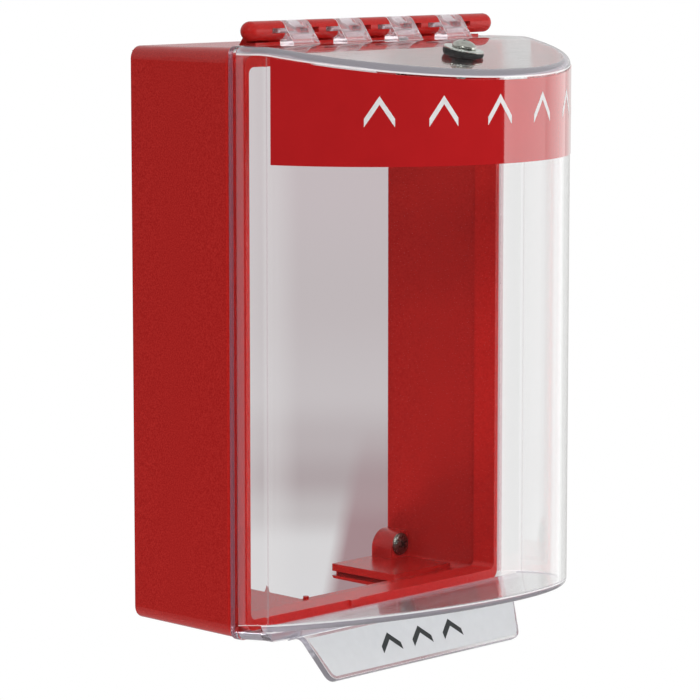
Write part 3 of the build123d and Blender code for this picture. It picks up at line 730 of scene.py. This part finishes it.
# ---- screws and washers, turned about their own axes ----
STUD_DEPTH = 100.0
STUD_RADIUS = 2.0          # the wall screws' too
STUD_HOLE = 2.25
STUD_LEAN = math.radians(4.8)
STUD_TURN = math.radians(20)
RUBBER_RADIUS = 7.6
RUBBER_HEIGHT = 2.0
RUBBER_RAGGED = ((0.010, 5, 1), (0.008, 11, 2), (0.006, 23, 0))     # share of the radius, waves, phase
WASHER_RADIUS = 7.5
WASHER_HEIGHT = 0.9
HEAD_RADIUS = 4.5
HEAD_STEPS = 10
HEAD_SUNK = 0.3
STUD_HEAD = (2.9, 0.35)    # height of the head and of its straight rim
WALL_HEAD = (2.0, 0.3)
STUD_RECESS = (2.1, 0.9)   # half length and width of the cross
WALL_RECESS = (2.3, 0.95)
GRIP = 9.7                 # from under the head to the far side of the nut
TIP = 2.0
THREAD_PITCH = 0.7
THREAD_DEPTH = 0.3
BOSS_DEPTH = 10.8
SCREW_X, SCREW_Z = 64.5, 96.0
WALL_SCREWS = [(x, z) for x in (-SCREW_X, SCREW_X) for z in (-SCREW_Z, SCREW_Z)]
RECESS_TAPER = 0.6


def lathe(name, profile, place, materials, steps=64, reach=None):
    """Turned solid: (radius, height) points from axis to axis, or round a ring's closed section.
    `reach` may change a point's radius and height with its angle."""
    mesh = bmesh.new()
    rings = []
    for radius, height in profile:
        ring = []
        for i in range(steps if radius else 1):
            a = 2 * math.pi * i / steps
            r, h = reach(radius, height, a) if reach else (radius, height)
            ring.append(mesh.verts.new(place @ Vector((r * math.cos(a), r * math.sin(a), h))))
        rings.append(ring)
    pairs = list(zip(rings, rings[1:]))
    if profile[0][0]:
        pairs.append((rings[-1], rings[0]))
    for a, b in pairs:
        for i in range(steps):
            j = (i + 1) % steps
            corners = [a[i % len(a)], a[j % len(a)], b[j % len(b)], b[i % len(b)]]
            mesh.faces.new(list(dict.fromkeys(corners)))
    bmesh.ops.recalc_face_normals(mesh, faces=mesh.faces)
    return new_object(name, mesh, materials)


def dome(radius, height, edge):
    """Profile of a screw head from the edge of its seat to its crown."""
    points = [(radius - 0.15, 0), (radius, 0.15), (radius, edge)]
    for i in range(1, HEAD_STEPS):
        a = math.pi / 2 * i / HEAD_STEPS
        points.append((radius * math.cos(a), edge + (height - edge) * math.sin(a)))
    return points + [(0, height)]


def thread(radius, low, high):
    """Profile of a threaded end, from `low` up to `high`, as close rings."""
    count = round((high - low) / THREAD_PITCH)
    step = (high - low) / count
    points = []
    for i in range(count):
        points += [(radius - THREAD_DEPTH, low + step * i), (radius, low + step * (i + 0.5))]
    return points


def cross_recess(place, half, width, top, bottom):
    """Tapered cross to cut from the crown of a head."""
    w = width / 2
    outline = [(half, -w), (half, w), (w, w), (w, half), (-w, half), (-w, w), (-half, w), (-half, -w),
               (-w, -w), (-w, -half), (w, -half), (w, -w)]
    ends = ([place @ Vector((p[0] * scale, p[1] * scale, height)) for p in outline]
            for scale, height in ((RECESS_TAPER, bottom), (1.0, top)))
    return new_object("recess", joined(*ends))


def stud_frame():
    """Matrix of the screw's seat on the sloping top, local z square to it."""
    place = Vector((0, -STUD_DEPTH, COVER_TOP - TOP_SLOPE * (STUD_DEPTH - BOW_START))) * MM
    tilt = Matrix.Rotation(math.atan(TOP_SLOPE), 4, "X")
    return Matrix.Translation(place) @ tilt @ Matrix.Scale(MM, 4)


def stud_pieces(rubber, washer_steel, screw_steel):
    """The rubber is pressed to a wedge, so that washer and head lean a little to one side."""
    level = stud_frame()
    pivot = level @ Vector((0, 0, RUBBER_HEIGHT))
    tilt = Matrix.Rotation(STUD_LEAN, 4, VIEW_LINE)
    leant = Matrix.Translation(pivot) @ tilt @ Matrix.Translation(-pivot) @ level
    normal = (level.inverted() @ leant).to_3x3() @ Vector((0, 0, 1))

    def wedge(radius, height, a):
        r = radius
        if radius > STUD_HOLE:
            r *= 1 + sum(share * math.sin(waves * a + phase) for share, waves, phase in RUBBER_RAGGED)
        slant = -(normal.x * r * math.cos(a) + normal.y * r * math.sin(a)) / normal.z
        return r, height + slant * height / RUBBER_HEIGHT

    r, h = RUBBER_RADIUS, RUBBER_HEIGHT
    section = [(STUD_HOLE, 0), (r - 0.9, 0), (r - 0.35, 0.3), (r, h * 0.6), (r - 0.1, h * 0.9),
               (r - 0.35, h), (STUD_HOLE, h)]
    soft = lathe("rubber_ring", section, level, [rubber], 96, wedge)
    low, r, h = RUBBER_HEIGHT, WASHER_RADIUS, WASHER_HEIGHT
    section = [(STUD_HOLE, low), (r - 0.25, low), (r, low + 0.25), (r, low + h - 0.3),
               (r - 0.3, low + h), (STUD_HOLE + 0.2, low + h), (STUD_HOLE, low + h - 0.2)]
    washer = lathe("washer_ring", section, leant, [washer_steel], 96)
    seat = RUBBER_HEIGHT + WASHER_HEIGHT
    crown = [(x, seat + z) for x, z in dome(HEAD_RADIUS, *STUD_HEAD)]
    head = lathe("stud_head", [(0, seat - HEAD_SUNK)] + crown, leant, [screw_steel])
    turned = leant @ Matrix.Rotation(STUD_TURN, 4, "Z")
    combine(head, cross_recess(turned, *STUD_RECESS, seat + 4, seat + 1.5), "DIFFERENCE")
    bottom = seat + 0.2 - GRIP - TIP
    shank = [(0, bottom), (STUD_RADIUS - 0.7, bottom)]
    shank += thread(STUD_RADIUS, bottom + 0.5, -COVER_WALL - 1)
    shank += [(STUD_RADIUS, -COVER_WALL), (STUD_RADIUS, seat + 0.3), (0, seat + 0.3)]
    combine(head, lathe("shank", shank, level, [screw_steel], 32), "UNION")
    return soft, washer, head


def wall_screw(x, z, material):
    """Pan head on its boss, with a plain shank down to the wall."""
    place = Matrix.Translation(Vector((x, -BOSS_DEPTH, z)) * MM) @ Matrix.Rotation(math.pi / 2, 4, "X")
    place = place @ Matrix.Scale(MM, 4)
    r, end = STUD_RADIUS, 0.2 - BOSS_DEPTH
    shank = [(0, end), (r - 0.3, end), (r, 0.5 - BOSS_DEPTH), (r, 0)]
    screw = lathe("wall_screw", shank + dome(HEAD_RADIUS, *WALL_HEAD), place, [material], 48)
    angle = math.radians(30 + 17 * x / SCREW_X + 9 * z / SCREW_Z)       # each head has its own
    turned = place @ Matrix.Rotation(angle, 4, "Z")
    return combine(screw, cross_recess(turned, *WALL_RECESS, 3.0, 0.5), "DIFFERENCE")


# ---- plain chevrons printed on the two labels ----
FILM = 0.25
FILM_GAP = 0.02
PRINT = 0.05
TAB_MARK = (10.5, 7.5, 2.8)                # width, height and stroke
TAB_MARK_PLACES = (-17.0, 0.0, 17.0)
BANNER_MARK = (11.0, 8.0, 3.0)
BANNER_MARKS = 6
BANNER_MARK_Z = 88.0
BANNER_MARK_STEP = 18                      # degrees round the bow
BANNER_MARK_ROWS = 6


def chevron(width, height, stroke):
    """Outline of an upward chevron about the origin."""
    half, foot = width / 2, -height / 2
    return [(-half, foot), (0, height / 2 - stroke), (half, foot),
            (half, foot + stroke), (0, height / 2), (-half, foot + stroke)]


def tab_marks(material):
    """A row of chevrons on the tab's film."""
    outlines = ([(p[0] + x, p[1] - TAB_LENGTH / 2) for p in chevron(*TAB_MARK)] for x in TAB_MARK_PLACES)
    return union(flat_prism("tab_marks", outline, FILM, FILM + PRINT, tab_frame(), materials=[material])
                 for outline in outlines)


def banner_marks(material):
    """Chevrons bent round the banner film, with none at its very front."""
    width, height, stroke = BANNER_MARK
    mesh = bmesh.new()
    base = BOW_RADIUS + FILM_GAP + FILM
    for k in range(BANNER_MARKS):
        middle = math.radians(BANNER_MARK_STEP * (k - (BANNER_MARKS - 1) / 2))
        for side in (-1, 1):
            rows = []
            for i in range(BANNER_MARK_ROWS + 1):
                t = side * i / BANNER_MARK_ROWS * width / 2
                z = BANNER_MARK_Z + height * (0.5 - i / BANNER_MARK_ROWS)
                a = middle + t / base
                section = ((base, z), (base + PRINT, z), (base + PRINT, z - stroke), (base, z - stroke))
                points = [Vector((r * math.sin(a), -BOW_CENTRE - r * math.cos(a), h))
                          for r, h in section]
                rows.append([mesh.verts.new(point * MM) for point in points])
            for a, b in zip(rows, rows[1:]):
                for i in range(4):
                    j = (i + 1) % 4
                    mesh.faces.new((a[i], b[i], b[j], a[j]))
            mesh.faces.new(rows[-1])
    bmesh.ops.remove_doubles(mesh, verts=mesh.verts, dist=0.000005)
    bmesh.ops.recalc_face_normals(mesh, faces=mesh.faces)
    return new_object("banner_marks", mesh, [material])


# ---- stage: a pale floor well below the wall-mounted part, and a plain studio round it ----
FLOOR_LEVEL = -0.90
FLOOR_RADIUS = 2.4
FLOOR_COLOUR = (0.72, 0.71, 0.71)
FLOOR_GLOW = 0.62          # what the camera alone sees on top of the floor's own light


def make_floor():
    """Pale floor that keeps the part's shadow and looks nearly white to the camera."""
    bpy.ops.mesh.primitive_circle_add(vertices=96, radius=FLOOR_RADIUS, fill_type="NGON",
                                      location=(0, 0, FLOOR_LEVEL))
    floor = bpy.context.object
    floor.name = "floor"
    material, tree, shader = new_material("floor")
    shader.inputs["Base Color"].default_value = (*FLOOR_COLOUR, 1)
    shader.inputs["Roughness"].default_value = 0.9
    white = add(tree, "ShaderNodeEmission")
    path = add(tree, "ShaderNodeLightPath")
    total = add(tree, "ShaderNodeAddShader")
    glow = calculate(tree, "MULTIPLY", path.outputs["Is Camera Ray"], FLOOR_GLOW)
    tree.links.new(glow, white.inputs["Strength"])
    tree.links.new(shader.outputs["BSDF"], total.inputs[0])
    tree.links.new(white.outputs["Emission"], total.inputs[1])
    tree.links.new(total.outputs["Shader"], tree.nodes["Material Output"].inputs["Surface"])
    floor.data.materials.append(material)


# Numbers for the world's ramps are parts of a unit direction: its height, how far it goes on behind the
# part along VIEW_LINE, and how far aside, to the right of that line.
# Backdrop behind the part, from low to high: a pale low zone, a painted soft shadow of the part, and a
# grey wall.
BACKDROP = ((-0.203, (0.74, 0.73, 0.74)),
            (-0.184, (0.735, 0.72, 0.725)),
            (-0.1747, (0.575, 0.535, 0.54)),
            (-0.165, (0.465, 0.40, 0.41)),
            (-0.154, (0.53, 0.475, 0.485)),
            (-0.141, (0.605, 0.56, 0.57)),
            (-0.114, (0.575, 0.52, 0.53)),
            (-0.078, (0.60, 0.53, 0.545)))
# A deeper painted shadow of the part low behind it, between a leaning left edge and a right edge.
SHADE_COLOUR = (0.40, 0.27, 0.285)
SHADE_TOP = (-0.178, -0.150)
SHADE_LEFT = (0.0378, 0.0435)
SHADE_RIGHT = (0.02, 0.04)
SHADE_LEAN = 0.25          # the left edge moves aside by this much for each step up
# What the backdrop turns into aside: share at the start, share at the end, start, end, colour.
BACKDROP_SIDES = ((0, 1, 0.03, 0.05, (0.72, 0.715, 0.705)),
                  (0, 1, 0.15, 0.3, (0.85, 0.85, 0.84)),
                  (0.4, 0, -0.030, -0.020, (0.82, 0.80, 0.80)))
ROOM_LEVEL = 0.04
ROOM_END = (0.0, 0.6)      # where the room gives way to the backdrop, by how far behind
CEILING_LEVEL = 0.8
CEILING_START = (0.08, 0.3)
CEILING_LEAN = 0.5         # how much higher the pale ceiling starts on the camera's side
HORIZON_LEVEL = 1.6
HORIZON_RISE = (0.05, 0.08)
HORIZON_FALL = (0.12, 0.15)
HORIZON_END = (-0.2, 0.2)  # the bright band is on the camera's side only
LIGHT_BELOW = 0.2
LIGHT_ABOVE = 0.5
WHITE = (1.0, 1.0, 1.0)


def grey(level):
    return (level,) * 3


def backdrop_colour(tree, height, aside):
    """The backdrop that gloss and glass show behind the part."""
    low, high = BACKDROP[0][0], BACKDROP[-1][0]
    wall = add(tree, "ShaderNodeValToRGB")
    tree.links.new(ramp(tree, height, 0, 1, low, high), wall.inputs["Fac"])
    wall.color_ramp.interpolation = "EASE"
    stops = wall.color_ramp.elements
    while len(stops) < len(BACKDROP):
        stops.new(0.5)
    for stop, (z, colour) in zip(stops, BACKDROP):
        stop.position = (z - low) / (high - low)
        stop.color = (*colour, 1)
    leaning = calculate(tree, "MULTIPLY_ADD", height, -SHADE_LEAN, aside)
    shade = calculate(tree, "MULTIPLY", ramp(tree, height, 1, 0, *SHADE_TOP),
                      ramp(tree, leaning, 0, 1, *SHADE_LEFT))
    shade = calculate(tree, "MULTIPLY", shade, ramp(tree, aside, 1, 0, *SHADE_RIGHT))
    backdrop = blend(tree, shade, wall.outputs["Color"], SHADE_COLOUR)
    for *limits, colour in BACKDROP_SIDES:
        backdrop = blend(tree, ramp(tree, aside, *limits), backdrop, colour)
    return backdrop


def make_world():
    """White for the camera. Surfaces get a plain even light, stronger from above. Gloss shows the
    backdrop behind the part, a pale ceiling and a dim room on the camera's side. Rays that have only
    gone through glass see the backdrop in every direction."""
    world = bpy.data.worlds.new("world")
    scene.world = world
    world.use_nodes = True
    tree = world.node_tree
    place = add(tree, "ShaderNodeTexCoord").outputs["Generated"]
    parts = add(tree, "ShaderNodeSeparateXYZ")
    tree.links.new(place, parts.inputs["Vector"])
    height = parts.outputs["Z"]
    behind = along(tree, place, VIEW_LINE)
    aside = along(tree, place, (VIEW_LINE.y, -VIEW_LINE.x, 0))
    path = add(tree, "ShaderNodeLightPath")

    backdrop = backdrop_colour(tree, height, aside)
    room = blend(tree, ramp(tree, behind, 0, 1, *ROOM_END), grey(ROOM_LEVEL), backdrop)
    lifted = calculate(tree, "ADD", height, ramp(tree, behind, -CEILING_LEAN, 0, -1, 0))
    room = blend(tree, ramp(tree, lifted, 0, 1, *CEILING_START), room, grey(CEILING_LEVEL))
    horizon = calculate(tree, "MULTIPLY", ramp(tree, height, 0, 1, *HORIZON_RISE),
                        ramp(tree, height, 1, 0, *HORIZON_FALL))
    horizon = calculate(tree, "MULTIPLY", horizon, ramp(tree, behind, 1, 0, *HORIZON_END))
    room = blend(tree, horizon, room, grey(HORIZON_LEVEL))
    straight = calculate(tree, "LESS_THAN", path.outputs["Glossy Depth"], 0.5)
    room = blend(tree, straight, room, backdrop)

    level = ramp(tree, height, LIGHT_BELOW, LIGHT_ABOVE, -1, 1)
    even = add(tree, "ShaderNodeCombineColor")
    for channel in ("Red", "Green", "Blue"):
        tree.links.new(level, even.inputs[channel])
    lit = calculate(tree, "GREATER_THAN", path.outputs["Diffuse Depth"], 0.5)
    room = blend(tree, lit, room, even.outputs["Color"])
    room = blend(tree, path.outputs["Is Camera Ray"], room, WHITE)
    tree.links.new(room, tree.nodes["Background"].inputs["Color"])
    tree.nodes["Background"].inputs["Strength"].default_value = 1.0


# ---- lamps ----
# Name, place, what it aims at, width and height, watts, whether gloss shows it.
LAMPS = (("key", (-1.08, -1.29, 0.95), (0, 0, 0), (0.9, 0.9), 12, False),
         ("bounce", (-0.42, 0.48, -0.8), (0, 0, 0), (0.4, 0.4), 6, False),
         ("front", (0.35, -1.7, 0.9), (0, 0, 0), (0.7, 0.7), 6, False),
         ("strip", (-1.39, -0.87, 0.74), (0, 0, 0.1), (0.9, 0.10), 3.6, True))
# Name, heading and width in degrees as the part sees it, strength at its front and rear end.
SOFTBOXES = (("softbox_front", -40.9, 35.8, 2.6, 0.85),
             ("softbox_side", -8, 30, 0.55, 0.42))
SOFTBOX_DISTANCE = 1.4
SOFTBOX_HEIGHT = 1.2
SOFTBOX_LEVEL = -0.15


def make_lamp(name, place, aim, size, power, in_gloss):
    data = bpy.data.lights.new(name, "AREA")
    data.shape = "RECTANGLE"
    data.size, data.size_y = size
    data.energy = power
    lamp = bpy.data.objects.new(name, data)
    scene.collection.objects.link(lamp)
    lamp.location = place
    lamp.rotation_euler = (Vector(aim) - Vector(place)).to_track_quat("-Z", "Y").to_euler()
    lamp.visible_glossy = in_gloss
    lamp.visible_camera = False
    return lamp


def make_softbox(name, heading, angle, near, far):
    """Upright softbox on the right, brighter at its front end."""
    turn = math.radians(heading)
    width = 2 * SOFTBOX_DISTANCE * math.tan(math.radians(angle / 2))
    place = (SOFTBOX_DISTANCE * math.cos(turn), SOFTBOX_DISTANCE * math.sin(turn), SOFTBOX_LEVEL)
    lamp = make_lamp(name, place, (0, 0, SOFTBOX_LEVEL), (width, SOFTBOX_HEIGHT),
                     math.pi * width * SOFTBOX_HEIGHT, True)
    lamp.data.use_nodes = True
    tree = lamp.data.node_tree
    parts = add(tree, "ShaderNodeSeparateXYZ")
    tree.links.new(add(tree, "ShaderNodeNewGeometry").outputs["Parametric"], parts.inputs["Vector"])
    strength = ramp(tree, parts.outputs["X"], near, far, 0, 1)
    tree.links.new(strength, tree.nodes["Emission"].inputs["Strength"])


def round_node(node):
    """Small rounds on a CAD node's edges, by modifiers alone."""
    weld = nodes[node].modifiers.new("weld", "WELD")
    weld.merge_threshold = 0.02 * MM
    edge = nodes[node].modifiers.new("edge", "BEVEL")
    edge.width = 0.4 * MM
    edge.segments = 2
    edge.limit_method = "ANGLE"
    edge.angle_limit = math.radians(40)
    edge.use_clamp_overlap = True
    weigh = nodes[node].modifiers.new("weigh", "WEIGHTED_NORMAL")
    weigh.keep_sharp = True


# ---- making it all ----
make_camera()
make_floor()
make_world()
for row in LAMPS:
    make_lamp(*row)
for row in SOFTBOXES:
    make_softbox(*row)

dress("spacer_box", red_plastic())
# The hinge rail gets a lighter copy of the red: painted light that the lamps leave out.
dress("hinge_frame", red_plastic("painted_lit_red_plastic", 1.15, 0.2))
round_node("spacer_box")
round_node("hinge_frame")

cover = make_cover_shell()
for centre in KNUCKLES:
    combine(cover, clear_knuckle(centre), "UNION")
smooth(cover, 35)
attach(cover, "cover")
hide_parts("clear_cover")
hole = [(0, -6), (STUD_HOLE, -6), (STUD_HOLE, 4), (0, 4)]
combine(cover, lathe("stud_hole", hole, stud_frame(), CLEAR_MATERIALS, 48), "DIFFERENCE")

film = plain("red_film", (0.46, 0.010, 0.012), 0.06, scale=90, mottle=0.03, spread=0.02, coat=0.03)
dress("banner_label", film)
dress("tab_label", plain("grey_film", (0.60, 0.61, 0.625), 0.4, scale=300, mottle=0.02))
# Inner washer and nut are painted dark so that they read as the dark reflection the clear top shows
# there; their finish is not known.
painted_dark_steel = steel("steel_painted_dark", (0.05, 0.042, 0.042), 0.35)
dress("inner_washer", painted_dark_steel)
dress("lock_nut", painted_dark_steel)

rubber = plain("black_rubber", (0.012, 0.012, 0.012), 0.6, 0.0, 1500, 0.3, 0.1, 0.0001)
zinc = steel("zinc_steel", (0.62, 0.65, 0.61), 0.24, 0.12, 0.06, 0.00002)
dark_steel = steel("screw_steel", (0.42, 0.43, 0.39), 0.18, 0.15, 0.06, 0.00002)
for piece, node, slot in zip(stud_pieces(rubber, zinc, dark_steel),
                             ("rubber_washer", "steel_washer", "cover_screw"),
                             ("black_rubber", "zinc_steel", "screw_steel")):
    smooth(piece, 40)
    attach(piece, "cover")
    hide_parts(node)

bronze = steel("bronzed_steel", (0.24, 0.245, 0.22), 0.3)
screws = union(wall_screw(x, z, bronze) for x, z in WALL_SCREWS)
screws.name = "wall_screw_set"
smooth(screws, 40)
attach(screws, "housing")
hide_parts("wall_screws")

for piece in (banner_marks(plain("white_print", (0.74, 0.73, 0.73), 0.35)),
              tab_marks(plain("dark_print", (0.010, 0.013, 0.014), 0.6))):
    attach(piece, "cover")
